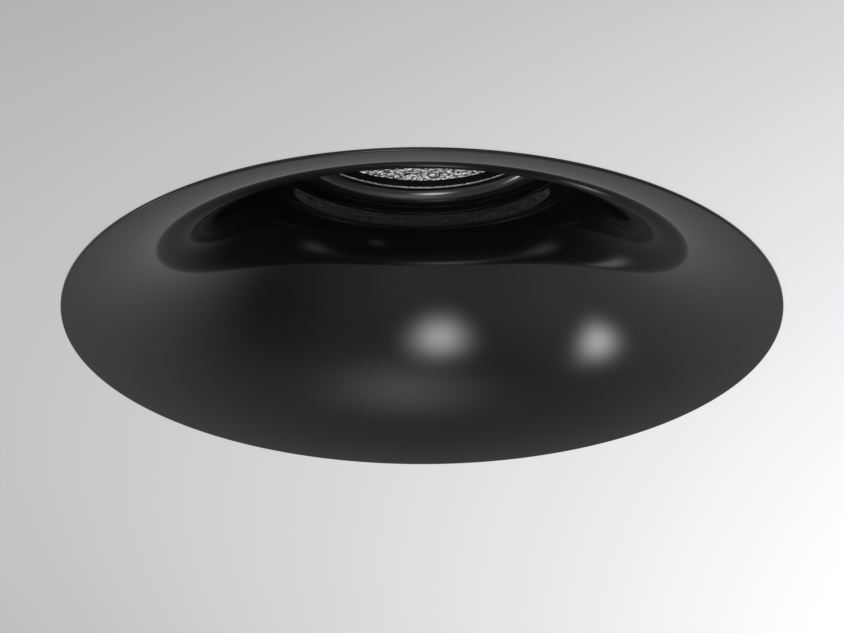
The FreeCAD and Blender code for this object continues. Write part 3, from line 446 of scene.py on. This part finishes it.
can_screw_radius, keeper_screw_radius, bracket_screw_place = 49.0466, 42.1466, (58.0, 12.5)
boss_radius, keeper_boss_radius = 3.1, 2.6
add(casting, boss(boss_radius, flange_bottom - 5.0, flange_bottom),
    *[turn(a, (can_screw_radius, 0, 0)) for a in can_screw_angles])
add(casting, boss(keeper_boss_radius, flange_bottom - 2.5, flange_bottom),
    *[turn(a, (keeper_screw_radius, 0, 0)) for a in keeper_angles])
boss_foot = back_height(hypot(*bracket_screw_place) - boss_radius) - flare_wall / 2
add(casting, boss(boss_radius, boss_foot, bracket_low.z),
    *[turn(a, (bracket_screw_place[0], side * bracket_screw_place[1], 0)) for a in (0, 180) for side in (1, -1)])
front_ring = set_down("front_ring", casting, black_paint)
in_place(front_ring, "mounting_ring", "flare")


# Soffit gasket. A thin ring of cellular rubber, glued behind the lip outside its stop ring.
black_rubber = Finish("black_rubber", IOR=1.45)
black_rubber.mottle(3, 4.0, (0.012, 0.012, 0.013), (0.028, 0.027, 0.027))
black_rubber.set(Roughness=0.62 + 0.2 * black_rubber.noise(0.8, 3.0))
black_rubber.relief(black_rubber.noise(0.25, 3.0), 0.02)
gasket_inner, gasket_outer = stop_radius + 0.2, lip_radius - 0.2
gasket_middle, gasket_bulge = -gasket_thickness / 2, gasket_thickness / 2
gasket = traced((gasket_inner + gasket_bulge, 0), (gasket_outer - gasket_bulge, 0),
                (gasket_outer - gasket_bulge, gasket_middle, 180, 8), (gasket_inner + gasket_bulge, -gasket_thickness),
                (gasket_inner + gasket_bulge, gasket_middle, 180, 8))
soffit_seal = set_down("soffit_seal", spun(gasket, 256), black_rubber)
in_place(soffit_seal, "mounting_ring", "soffit_gasket")


# Bezel. A turned and painted ring that screws on to the head body and holds the lens. Its outside is a zone of the
# ball that the lamp head turns on, and its inner edge is a wide polished rounding. The low wall between the
# rounding and the lens is left bare and mirrors the lens.
face_z, skirt_top = corners("bezel")[0].z, corners("bezel")[1].z
ball_radius, pivot_z, ball_edge = corners("bezel")[1].x, face_z + 3.8, 0.4
window_radius, window_round, lens_room, thread_radius = 26.7, 2.4, 28.6, 29.3
lens_low, lens_top = corners("front_lens")[0].z, corners("front_lens")[1].z


def ball_slope(height):
    """The slope of the ball zone at a height, in degrees from its widest ring."""
    return degrees(asin((height - pivot_z) / ball_radius))


bezel_black = Finish("bezel_black", IOR=1.5, Coat_Roughness=0.03)
black_coat = bezel_black.mix(bezel_black.noise(6, 3.0), (0.004, 0.004, 0.0043), (0.008, 0.008, 0.0086))
bezel_black.relief(bezel_black.noise(0.9, 2.0), 0.0003)
bare_from, bare_reach = face_z + 2.0, window_radius + 0.25
bare = bezel_black.between(bezel_black.coordinate("Z"), (bare_from - 0.1) * mm, (bare_from + 0.1) * mm)
painted = bezel_black.between(bezel_black.from_axis(), (bare_reach - 0.05) * mm, (bare_reach + 0.05) * mm)
bare = bare * (1 - painted)
bezel_black.set(Base_Color=bezel_black.mix(bare, black_coat, (0.86, 0.87, 0.88)), Metallic=bare)
bezel_black.set(Roughness=0.05 + 0.03 * bezel_black.noise(5, 4.0))
bezel_black.set(Coat_Weight=(1 - bare) * (0.5 + 0.3 * bezel_black.noise(8, 2.0)))
ball_low = ball_slope(face_z + ball_edge)
turned_ring = traced(
    (window_radius, face_z + window_round), (window_radius + window_round, face_z + window_round, -90, 16),
    (ball_radius * cos(radians(ball_low)) - ball_edge, face_z),
    (ball_radius * cos(radians(ball_low)) - ball_edge, face_z + ball_edge, -90, 5),
    (0, pivot_z, ball_low - ball_slope(skirt_top), 24), (thread_radius, skirt_top), (thread_radius, lens_top),
    (lens_room, lens_top), (lens_room, lens_low), (window_radius, lens_low))
bezel_ring = set_down("bezel_ring", spun(closed(turned_ring), 240), bezel_black)
in_place(bezel_ring, "lamp_head", "bezel")


# Lens. A clear disc with a fine prism pattern that breaks up the view of the LED, on a flat rubber ring. It stands
# in the bezel's counterbore, and its boss centres the ring. Its prisms are painted glints: light and dark grains
# that glow a little, warmer over the LED.
lens_boss_radius, seal_gap, lens_radius, lens_ledge = 24.9, 0.1, 28.4, corners("lens_seal")[1].z
# The prisms' width and depth, and the radius of the painted LED glow on the lens.
prism_width, prism_depth, painted_glow_radius = 0.5, 0.05, 8.5
seal = closed(traced((lens_boss_radius + seal_gap, lens_low), (lens_radius, lens_low),
                     (lens_radius, lens_ledge), (lens_boss_radius + seal_gap, lens_ledge)))
black_silicone = Finish("black_silicone", IOR=1.15)
black_silicone.material["slot"] = "black_rubber"
black_silicone.mottle(4, 3.0, (0.0015, 0.0015, 0.0015), (0.003, 0.003, 0.003))
black_silicone.set(Roughness=0.6 + 0.2 * black_silicone.noise(0.6, 3.0))
black_silicone.relief(black_silicone.noise(0.5, 2.0), 0.005)
lens_ring = set_down("lens_ring", spun(seal), black_silicone)
in_place(lens_ring, "lamp_head", "lens_seal")
clear_lens = Finish("clear_lens", IOR=1.49)
prism_scale = 1 / (prism_width * mm)
prisms = clear_lens.node("TexVoronoi", {"feature": "F1"}, "Color", Vector=clear_lens.place, Scale=prism_scale)
edges = clear_lens.node("TexVoronoi", {"feature": "F1"}, "Distance", Vector=clear_lens.place, Scale=prism_scale)
# Painted glints: each prism cell is painted light or dark, for the highlights and dark that its facets mirror.
painted_glint_grain = clear_lens.node("SeparateColor", result="Red", Color=prisms) ** 2.2
# Painted glow: within this radius of the axis the light grains turn warm, as if lit by the LED.
painted_led_glow = 1 - clear_lens.between(clear_lens.from_axis(), 0.3 * painted_glow_radius * mm, painted_glow_radius * mm)
painted_glint_tone = clear_lens.mix(painted_led_glow * 0.7, (0.72, 0.73, 0.74), (0.80, 0.66, 0.28))
painted_glints = clear_lens.mix(painted_glint_grain, (0.004, 0.004, 0.005), painted_glint_tone)
# Painted glow: the grains also give off their own colour as light, though the lens is no lamp.
clear_lens.set(Base_Color=painted_glints, Emission_Color=painted_glints, Emission_Strength=0.62)
clear_lens.set(Roughness=0.12 + 0.25 * painted_glint_grain)
clear_lens.relief(edges, prism_depth)
lens_edge = 0.15
disc = traced((0, lens_low), (lens_boss_radius - lens_edge, lens_low),
              (lens_boss_radius - lens_edge, lens_low + lens_edge, -90, 4),
              (lens_boss_radius, lens_ledge), (lens_radius - lens_edge, lens_ledge),
              (lens_radius - lens_edge, lens_ledge + lens_edge, -90, 4), (lens_radius, lens_top - lens_edge),
              (lens_radius - lens_edge, lens_top - lens_edge, -90, 4), (0, lens_top))
lens = set_down("lens", spun(disc), clear_lens)
in_place(lens, "lamp_head", "front_lens")


# Light source. Under the head's roof a square board with one round LED lies on a soft pad, held by a white moulded
# frame with two screws. A metallised cup throws its light on the lens.
def dress(finish, *nodes):
    """Gives CAD nodes a finish."""
    for node in nodes:
        for held in frame["nodes"][node].material_slots:
            held.material = finish.material


white_plastic = Finish("white_plastic", IOR=1.46)
white_plastic.mottle(9, 3.0, (0.76, 0.76, 0.73), (0.84, 0.84, 0.82))
white_plastic.set(Roughness=0.38 + 0.12 * white_plastic.noise(1.5, 3.0))
white_plastic.relief(white_plastic.noise(0.3, 2.0), 0.01)
dress(white_plastic, "led_holder", "glide_ring", "pivot_washers")

board_white = Finish("board_white", IOR=1.5)
pads = board_white.node("TexBrick", {"offset": 0.5}, "Fac", Vector=board_white.place, Scale=260.0)
board_white.set(Base_Color=board_white.mix(pads, (0.84, 0.84, 0.81), (0.72, 0.66, 0.5)))
board_white.set(Roughness=0.32 + 0.2 * board_white.noise(2, 2.0))
board_white.relief(board_white.noise(0.5, 2.0), 0.01)
dress(board_white, "led_board")

phosphor = Finish("phosphor", IOR=1.42)
phosphor.mottle(1.2, 3.0, (0.86, 0.66, 0.10), (0.95, 0.78, 0.2))
phosphor.set(Roughness=0.22 + 0.2 * phosphor.noise(0.6, 2.0))
phosphor.relief(phosphor.noise(0.5, 3.0), 0.02)
dress(phosphor, "led_emitter")

pad_grey = Finish("pad_grey", IOR=1.45)
pad_grey.mottle(0.8, 4.0, (0.16, 0.17, 0.19), (0.26, 0.27, 0.29))
pad_grey.set(Roughness=0.6 + 0.2 * pad_grey.noise(1, 2.0))
pad_grey.relief(pad_grey.noise(0.3, 3.0), 0.03)
dress(pad_grey, "thermal_pad")

reflector_mirror = Finish("reflector_mirror", Metallic=1.0)
reflector_mirror.mottle(7, 2.0, (0.86, 0.87, 0.88), (0.93, 0.93, 0.93))
reflector_mirror.set(Roughness=0.06 + 0.06 * reflector_mirror.noise(2, 3.0))
reflector_mirror.relief(reflector_mirror.noise(1.6, 1.0), 0.01)
dress(reflector_mirror, "reflector_cup")


# Lamp head. A turned body takes the bezel's thread, and a heat sink with 24 fins round a hub closes it on top. Both
# are aluminium, turned and anodised black. The lead leaves through a grommet beside the hub.
black_anodised = Finish("black_anodised", Metallic=0.6, IOR=1.5)
lathe_marks = black_anodised.noise(0.5, 2.0, (30, 30, 1))
black_anodised.mottle(12, 3.0, (0.016, 0.016, 0.018), (0.030, 0.030, 0.034))
black_anodised.set(Roughness=0.34 + 0.14 * lathe_marks)
black_anodised.relief(lathe_marks, 0.012)
dress(black_anodised, "head_body", "heat_sink", "swivel_ring")
dress(black_rubber, "head_grommet")


# Screws. Zinc-plated steel pan heads with a square drive, one group for each set: they hold the can, the keepers,
# the heat sink, the LED frame, the clips' brackets and the terminal box. The pivots are slotted shoulder screws.
zinc_steel = Finish("zinc_steel", Metallic=1.0)
passivation = zinc_steel.noise(5, 4.0)
zinc_steel.set(Base_Color=zinc_steel.mix(passivation, (0.50, 0.52, 0.56), (0.68, 0.68, 0.67)))
zinc_steel.set(Roughness=0.26 + 0.2 * zinc_steel.noise(1.2, 4.0))
zinc_steel.relief(zinc_steel.noise(0.4, 3.0), 0.012)


def pan_head(thread, radius, height, length):
    """A screw standing on z = 0 with its head up and a square drive socket in it."""
    steps, socket, depth, crown = 32, radius * 0.4, 0.9, height * 0.45
    bm = spun(traced((0, -length), (thread - 0.3, -length), (thread, 0.3 - length), (thread, 0), (radius - 0.1, 0),
                     (radius, 0.1), (radius, height - crown), (radius - crown, height - crown, -90, 6),
                     (socket * 1.6, height)), steps)
    rim = [line for line in bm.edges if line.is_boundary]
    for sink, reach in ((0, socket), (depth, socket)):
        made = bmesh.ops.extrude_edge_only(bm, edges=rim)["geom"]
        rim = [line for line in made if isinstance(line, bmesh.types.BMEdge)]
        for vert in {v for line in rim for v in line.verts}:
            share = reach / max(abs(vert.co.x), abs(vert.co.y))
            vert.co = (vert.co.x * share, vert.co.y * share, height - sink)
    bmesh.ops.contextual_create(bm, geom=rim)
    return bm


def screws(name, node, body, size, seat, places, upside_down=False):
    """A set of like screws in place of a CAD node's, on seats at one height."""
    bm = bmesh.new()
    flip = Matrix.Rotation(pi, 4, "X") if upside_down else Matrix()
    add(bm, pan_head(*size), *[Matrix.Translation((x, y, seat)) @ flip for x, y in places])
    in_place(set_down(name, bm, zinc_steel), body, node)


def round_places(radius, angles):
    return [(radius * cos(radians(a)), radius * sin(radians(a))) for a in angles]


sheet, sink_base, holder_head = 1.5, 4.0, 1.2
ring_height, keeper_lift, keeper_sheet = 8.0, 0.2, 1.2
sink_screw_radius, sink_screw_angles = 24.6, (7.5, 127.5, 247.5)
body_top, sink_top = corners("head_body")[1].z, corners("heat_sink")[0].z + sink_base
holder_low, holder_screw_x = corners("holder_screws")[0].z + holder_head, corners("led_holder")[1].x - 3.0
keeper_seat = corners("swivel_ring")[0].z + ring_height + keeper_lift + keeper_sheet
screws("flange_screws", "can_screws", "mounting_ring", (1.5, 2.8, 2.0, 6.5), flange_top + sheet,
       round_places(can_screw_radius, can_screw_angles))
screws("ring_screws", "keeper_screws", "mounting_ring", (1.0, 1.6, 1.2, 5.0 + keeper_seat - flange_top),
       keeper_seat, round_places(keeper_screw_radius, keeper_angles))
screws("bracket_bolts", "bracket_screws", "mounting_ring", (1.5, 2.8, 2.0, 7.0), bracket_low.z + 1.2,
       [(sx * bracket_screw_place[0], sy * bracket_screw_place[1]) for sx in (1, -1) for sy in (1, -1)])
screws("box_bolts", "box_screws", "mounting_ring", (1.5, 2.8, 2.0, 7.4), shelf_bottom,
       [(x, (flange_radius + box_front) / 2) for x in (-9, 9)], upside_down=True)
screws("sink_bolts", "sink_screws", "lamp_head", (1.25, 2.1, 1.8, 12.0), sink_top,
       round_places(sink_screw_radius, sink_screw_angles))
screws("holder_bolts", "holder_screws", "lamp_head", (1.0, 1.9, 1.2, 3.5 + body_top - holder_low), holder_low,
       [(side * holder_screw_x, 0) for side in (-1, 1)], upside_down=True)
dress(zinc_steel, "pivot_screws", "ring_keepers")


# Housing can. Drawn from 1.5 mm steel sheet and powder coated in satin black: a flange with three screws, a wall
# with 24 vent slots near its top, and a pressed step in its roof.
can_radius, can_top = can_high.x - 6.2, can_high.z
shoulder, foot_round, step_radius, step_depth = 3.0, 1.2, 33.0, 0.6
vent_count, vent_half, vent_low, vent_high = 24, 1.2, can_top - 15.0, can_top - 3.0
columns = 4                            # faces across a vent
can_steel = Finish("can_steel", IOR=1.5)
speckle = can_steel.noise(0.9, 3.0)
can_steel.mottle(18, 3.0, (0.018, 0.018, 0.019), (0.030, 0.030, 0.032))
can_steel.set(Roughness=0.42 + 0.16 * speckle)
can_steel.relief(speckle, 0.03)
shell = spun(traced(
    (flange_radius, flange_top + sheet), (can_radius + foot_round, flange_top + sheet),
    (can_radius + foot_round, flange_top + sheet + foot_round, 90, 6), (can_radius, vent_low),
    (can_radius, vent_low + vent_half), (can_radius, vent_high - vent_half), (can_radius, can_top - shoulder),
    (can_radius - shoulder, can_top - shoulder, -90, 8), (step_radius, can_top),
    (step_radius - step_depth, can_top - step_depth), (0, can_top - step_depth)), vent_count * 20)


def vent_share(point):
    """Where a point of the wall lies across the nearest vent: -1 and 1 are its sides."""
    pitch = 2 * pi / vent_count
    angle = (atan2(point.y, point.x) + pitch / 2) % pitch - pitch / 2
    return angle / (columns * pitch / 40)


for vert in shell.verts:
    share = vent_share(vert.co)
    if vert.co.xy.length > can_radius - 0.01 and abs(share) < 1.01:
        end = vent_half * (1 - sqrt(max(0, 1 - share ** 2)))
        if abs(vert.co.z - vent_low - vent_half) < 0.01:
            vert.co.z = vent_low + end
        elif abs(vert.co.z - vent_high + vent_half) < 0.01:
            vert.co.z = vent_high - end
punched = []
for face in shell.faces:
    middle = face.calc_center_median()
    if vent_low + 2 * vent_half < middle.z < vent_high - 2 * vent_half and abs(vent_share(middle)) < 1:
        punched.append(face)
bmesh.ops.delete(shell, geom=punched, context="FACES")
can = set_down("can", shell, can_steel)


def thicken(piece, thickness):
    """Gives a sheet its thickness, inwards."""
    wall = piece.modifiers.new("wall", "SOLIDIFY")
    wall.thickness, wall.offset, wall.use_even_offset = thickness * mm, -1, True


def soften(piece, width, segments=2):
    """Rounds a piece's sharp edges."""
    worn = piece.modifiers.new("worn", "BEVEL")
    worn.width, worn.segments, worn.limit_method, worn.angle_limit = width * mm, segments, "ANGLE", radians(35)
    worn.harden_normals = True


thicken(can, sheet)
soften(can, 0.15, 1)
in_place(can, "mounting_ring", "housing_can")


# Clips. Each is a folded bracket on two screws, a headed pin, a wound wire spring and a folded arm with a rubber
# foot that presses on the soffit. The left clip is the right one turned half round.
def refined(name, finish, node, edge):
    """A CAD node's shape as a piece of its own, with whole faces and softened edges."""
    bm = bmesh.new()
    bm.from_mesh(frame["nodes"][node].data)
    bmesh.ops.scale(bm, vec=(1 / mm, 1 / mm, 1 / mm), verts=bm.verts)
    bmesh.ops.remove_doubles(bm, verts=bm.verts, dist=0.001)
    bmesh.ops.dissolve_limit(bm, angle_limit=radians(0.3), verts=bm.verts, edges=bm.edges)
    piece = set_down(name, bm, finish)
    soften(piece, edge)
    in_place(piece, frame["nodes"][node]["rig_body"], node)


pin_radius, pin_head, pin_head_height, ear_face = 1.5, 2.6, 1.0, 8.0
pin_x, pin_z = corners("clip_pin_right")[0].x + pin_head, corners("clip_pin_right")[0].z + pin_head
for side in ("right", "left"):
    refined(f"bracket_{side}", zinc_steel, f"clip_bracket_{side}", 0.15)
    refined(f"arm_{side}", zinc_steel, f"clip_arm_{side}", 0.12)
    refined(f"foot_{side}", black_rubber, f"clip_foot_{side}", 0.4)
headed = closed(traced((0, -ear_face - pin_head_height), (pin_head - 0.4, -ear_face - pin_head_height),
                       (pin_head - 0.4, -ear_face - pin_head_height + 0.4, -90, 4), (pin_head, -ear_face),
                       (pin_radius, -ear_face), (pin_radius, ear_face), (pin_head, ear_face),
                       (pin_head, ear_face + pin_head_height - 0.4),
                       (pin_head - 0.4, ear_face + pin_head_height - 0.4, -90, 4), (0, ear_face + pin_head_height)))
spun(headed, 32)
pin = bpy.data.meshes.new("pin")
headed.to_mesh(pin)
headed.free()
for side, place in (("right", pin_x), ("left", -pin_x)):
    bm = bmesh.new()
    bm.from_mesh(pin)
    lying = Matrix.Translation((place, 0, pin_z)) @ Matrix.Rotation(pi / 2, 4, "X")
    bmesh.ops.transform(bm, matrix=lying, verts=bm.verts)
    in_place(set_down(f"pin_{side}", bm, zinc_steel), "mounting_ring", f"clip_pin_{side}")

wire_radius, coil_radius, coil_turns, coil_half, arm_angle = 0.6, 3.5, 5, 4.4, 14.726
fixed_leg, moving_leg, turn_steps = 9.0, 17.0, 24
spring_steel = Finish("spring_steel", Metallic=1.0)
drawn = spring_steel.noise(0.3, 2.0, (8, 1, 8))
spring_steel.mottle(3, 3.0, (0.40, 0.40, 0.41), (0.56, 0.55, 0.54))
spring_steel.set(Roughness=0.22 + 0.16 * drawn)
spring_steel.relief(drawn, 0.006)


def pushed(bm, rim, way):
    """Extrudes the open end of a wire along a way. Gives its new end."""
    made = bmesh.ops.extrude_edge_only(bm, edges=rim)["geom"]
    bmesh.ops.translate(bm, vec=way, verts=[v for v in made if isinstance(v, bmesh.types.BMVert)])
    return [line for line in made if isinstance(line, bmesh.types.BMEdge)]


def spring():
    """The right clip's spring: a straight leg, the coil round the pin and the leg under the arm."""
    sweep = 360 * coil_turns - arm_angle
    steps = round(sweep * turn_steps / 360)
    bm = bmesh.new()
    start = Matrix.Translation((pin_x - fixed_leg, -coil_half, pin_z - coil_radius))
    start = start @ Matrix.Rotation(pi / 2, 4, "Y")
    bmesh.ops.create_circle(bm, cap_ends=True, radius=wire_radius, segments=12, matrix=start)
    rim = pushed(bm, bm.edges[:], (fixed_leg, 0, 0))
    ends = {vert for line in rim for vert in line.verts}
    made = bmesh.ops.spin(bm, geom=[*rim, *ends], cent=(pin_x, -coil_half, pin_z), axis=(0, -1, 0),
                          dvec=(0, 2 * coil_half / steps, 0), angle=radians(sweep), steps=steps)
    rim = [line for line in made["geom_last"] if isinstance(line, bmesh.types.BMEdge)]
    slope = radians(arm_angle)
    rim = pushed(bm, rim, (moving_leg * cos(slope), 0, -moving_leg * sin(slope)))
    bmesh.ops.contextual_create(bm, geom=rim)
    return bm


for side, half_turn, sign in (("right", 0, 1), ("left", pi, -1)):
    bm = spring()
    bmesh.ops.rotate(bm, cent=(0, 0, 0), matrix=Matrix.Rotation(half_turn, 3, "Z"), verts=bm.verts)
    wound = set_down(f"spring_{side}", bm, spring_steel, sharp=50)
    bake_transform(wound)
    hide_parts(f"clip_spring_{side}")


# Terminal box. A grey moulded box on the shelf behind the can, with a hinged lid on two pins and a soft seal in the
# lid's groove.
grey_plastic = Finish("grey_plastic", IOR=1.5)
spark_grain = grey_plastic.noise(0.22, 2.0)
grey_plastic.mottle(15, 3.0, (0.155, 0.162, 0.172), (0.19, 0.198, 0.21))
grey_plastic.set(Roughness=0.46 + 0.18 * spark_grain)
grey_plastic.relief(spark_grain, 0.03)
refined("box", grey_plastic, "terminal_box", 0.3)
refined("lid", grey_plastic, "box_lid", 0.3)
refined("hinge_pins", zinc_steel, "lid_pins", 0.1)
refined("lid_strip", black_rubber, "lid_seal", 0.1)


# Inside the box. A potted driver lies on the floor. Above it, a white terminal block holds two tinned clamps, each
# opened by an orange lever.
potting_black = Finish("potting_black", IOR=1.5)
potting_black.mottle(4, 3.0, (0.016, 0.016, 0.018), (0.032, 0.032, 0.034))
potting_black.set(Roughness=0.2 + 0.25 * potting_black.noise(3, 3.0))
potting_black.relief(potting_black.noise(4, 2.0), 0.15)
refined("driver", potting_black, "driver_module", 0.3)
refined("block", white_plastic, "terminal_block", 0.15)
tinned_copper = Finish("tinned_copper", Metallic=1.0)
tinned_copper.mottle(1.5, 4.0, (0.62, 0.58, 0.52), (0.78, 0.75, 0.70))
tinned_copper.set(Roughness=0.25 + 0.2 * tinned_copper.noise(0.8, 3.0))
tinned_copper.relief(tinned_copper.noise(0.5, 3.0), 0.01)
dress(tinned_copper, "terminal_cages")
orange_plastic = Finish("orange_plastic", IOR=1.5)
orange_plastic.mottle(5, 3.0, (0.72, 0.17, 0.012), (0.82, 0.23, 0.02))
orange_plastic.set(Roughness=0.28 + 0.12 * orange_plastic.noise(0.8, 3.0))
orange_plastic.relief(orange_plastic.noise(0.4, 2.0), 0.01)
for pole in ("plus", "minus"):
    refined(f"{pole}_arm", orange_plastic, f"lever_{pole}", 0.2)


# Cable gland and grommet. A black M12 gland stands on the box's roof, held by a nut inside it: a body, a rubber
# seal for a 6 mm cable and a cap. A rubber grommet carries the lead from the can to the box.
black_plastic = Finish("black_plastic", IOR=1.5)
mould_grain = black_plastic.noise(0.35, 2.0)
black_plastic.mottle(8, 3.0, (0.018, 0.018, 0.019), (0.034, 0.034, 0.035))
black_plastic.set(Roughness=0.34 + 0.16 * mould_grain)
black_plastic.relief(mould_grain, 0.02)
refined("gland", black_plastic, "gland_body", 0.2)
refined("gland_lock", black_plastic, "gland_locknut", 0.2)
refined("gland_cap", black_plastic, "gland_nut", 0.25)
refined("gland_sleeve", black_rubber, "gland_seal", 0.2)
refined("lead_sleeve", black_rubber, "lead_grommet", 0.2)
